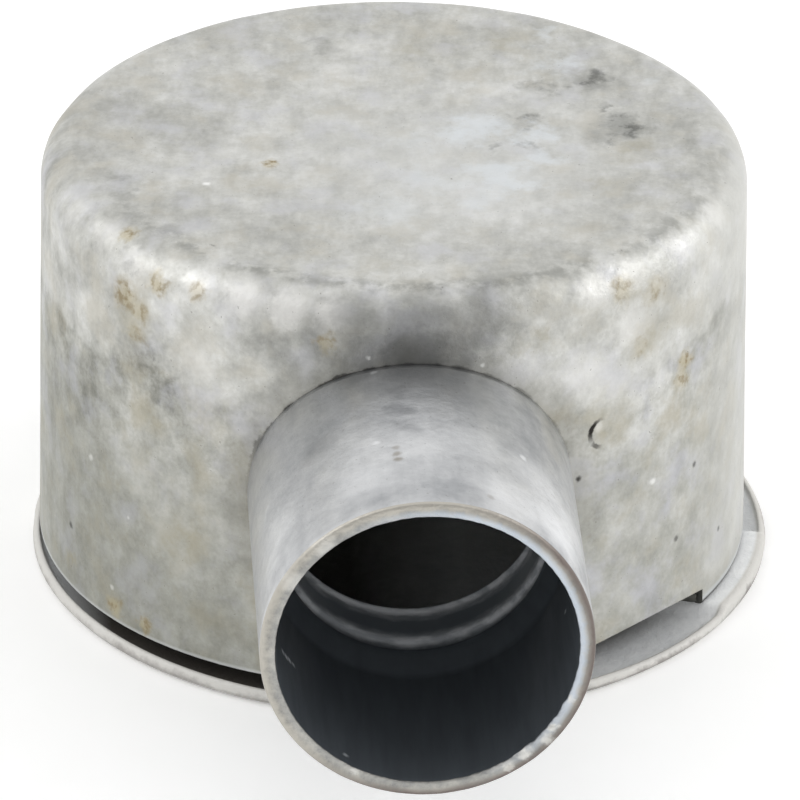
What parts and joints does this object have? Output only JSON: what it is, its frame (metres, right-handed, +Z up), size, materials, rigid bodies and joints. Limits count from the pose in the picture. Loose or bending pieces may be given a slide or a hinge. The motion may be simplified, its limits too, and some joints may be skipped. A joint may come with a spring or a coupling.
{
  "type": "one-way conduit box",
  "caption": "Round drawn-steel conduit end box standing on its screwed lid, with a straight spout that takes a plain conduit end and a hollow for joining wires.",
  "frame": {"origin": "on the cup's axis, at the lid's outer face, which the part stands on", "axes": "+Z up from the lid to the crown, -Y out along the spout, +X to the right when looking into the spout"},
  "size_m": [0.0658, 0.0883, 0.0396],
  "materials": {
    "drawn_galvanised_steel": "dull worn galvanised, draw marks and rust specks",
    "zinc_coated_tube": "satin zinc coat, cut end with burrs",
    "pressed_zinc_sheet": "satin zinc sheet, sheared edge",
    "zinc_plated_screw": "bright zinc plate"
  },
  "bodies": {
    "root": {"box_body": "drawn_galvanised_steel", "conduit_spout": "zinc_coated_tube", "lid": "pressed_zinc_sheet", "lid_screws": "zinc_plated_screw"}
  },
  "joints": []
}
